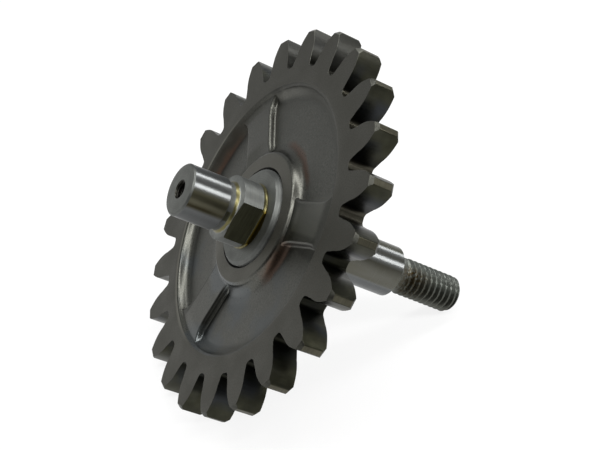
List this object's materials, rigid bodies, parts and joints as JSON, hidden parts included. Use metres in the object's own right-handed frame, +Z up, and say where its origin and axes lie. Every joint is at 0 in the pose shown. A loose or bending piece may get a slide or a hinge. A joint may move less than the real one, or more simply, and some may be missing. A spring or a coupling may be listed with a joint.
{
  "type": "water pump shaft",
  "caption": "Turned steel pump shaft with a pressed-on spur gear, plain journals either side, a flatted barrel in front and a threaded end for an impeller.",
  "frame": {"origin": "on the floor, at the centre of the bounding box's base, with the part lying on two gear teeth and the threaded end", "axes": "+Z up; the shaft leans down towards +X, with the threaded end touching the floor at +X; +Y is square to the shaft, along the gear's width"},
  "size_m": [0.0494, 0.06, 0.0487],
  "materials": {
    "forged_gear_steel": "forged and machined steel, dull grey, unplated",
    "ground_shaft_steel": "turned and ground steel, bright on the journals"
  },
  "bodies": {
    "root": {"gear": "forged_gear_steel", "shaft": "ground_shaft_steel"}
  },
  "joints": []
}
